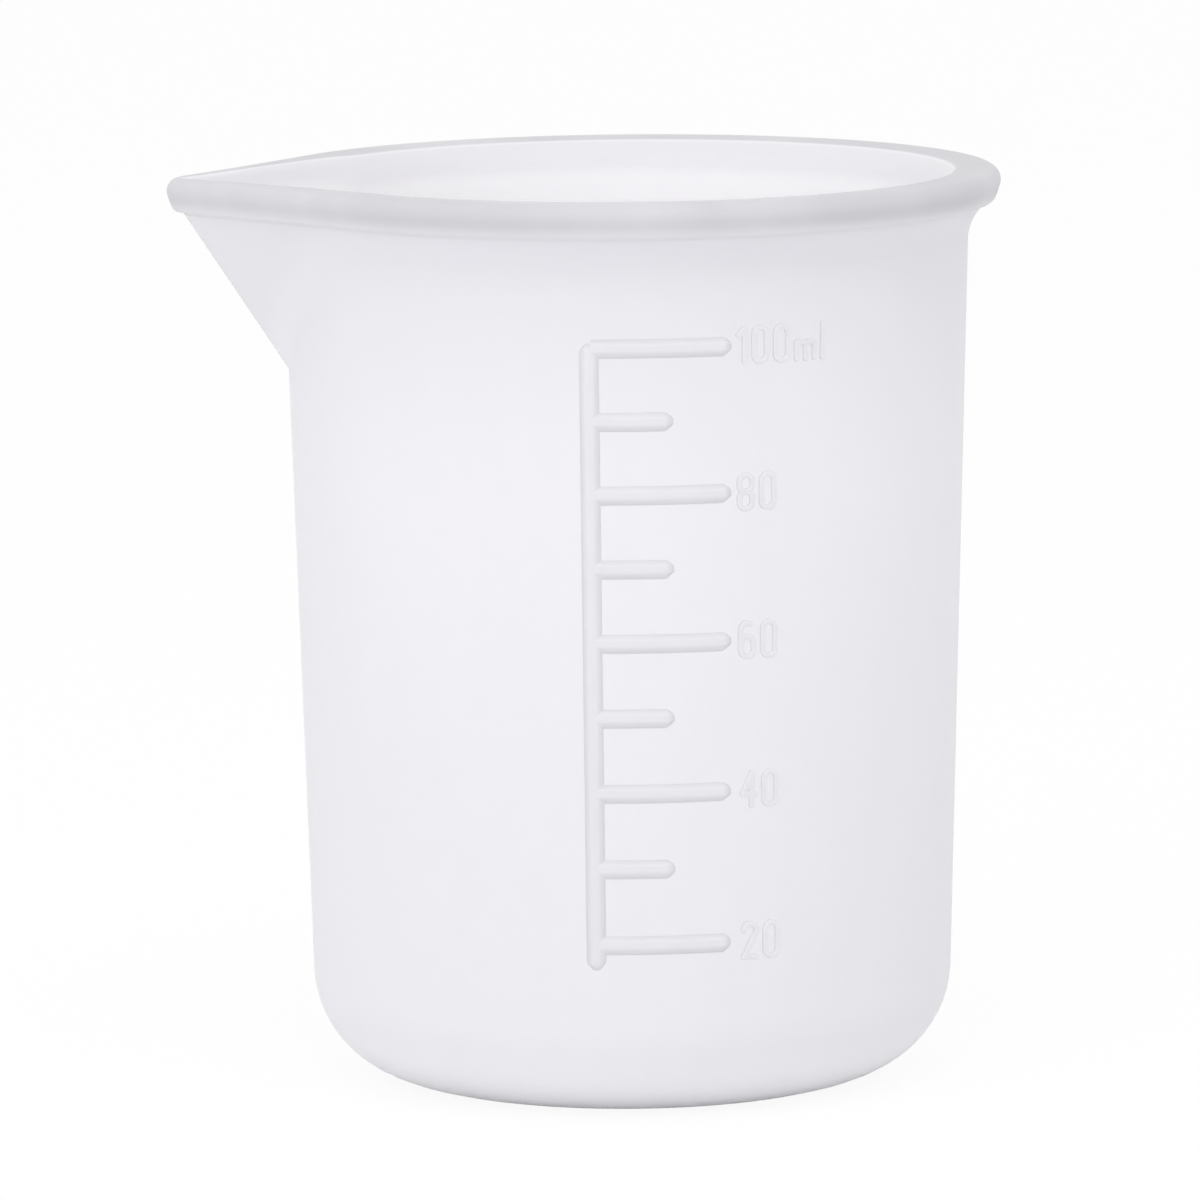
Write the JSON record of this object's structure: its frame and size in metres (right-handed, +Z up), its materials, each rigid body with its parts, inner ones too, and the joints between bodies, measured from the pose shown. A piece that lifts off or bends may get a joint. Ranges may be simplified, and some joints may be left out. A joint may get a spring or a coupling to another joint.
{
  "type": "mixing cup",
  "caption": "Small soft round mixing cup with a pouring spout, a flanged lip, a rounded base and a raised millilitre scale.",
  "frame": {"origin": "centre of the flat base, on the cup's own axis", "axes": "+Z up along the cup's axis, spout towards -X, raised scale towards -Y"},
  "size_m": [0.0647, 0.0582, 0.0707],
  "materials": {
    "cup_silicone": "satin milky translucent white silicone",
    "scale_silicone": "the same silicone, raised, so that it looks slightly denser"
  },
  "bodies": {
    "root": {"cup_body": "cup_silicone", "scale_spine": "scale_silicone", "bar_20_ml": "scale_silicone", "bar_30_ml": "scale_silicone", "bar_40_ml": "scale_silicone", "bar_50_ml": "scale_silicone", "bar_60_ml": "scale_silicone", "bar_70_ml": "scale_silicone", "bar_80_ml": "scale_silicone", "bar_90_ml": "scale_silicone", "bar_100_ml": "scale_silicone", "label_20_ml": "scale_silicone", "label_40_ml": "scale_silicone", "label_60_ml": "scale_silicone", "label_80_ml": "scale_silicone", "label_100_ml": "scale_silicone"}
  },
  "joints": []
}
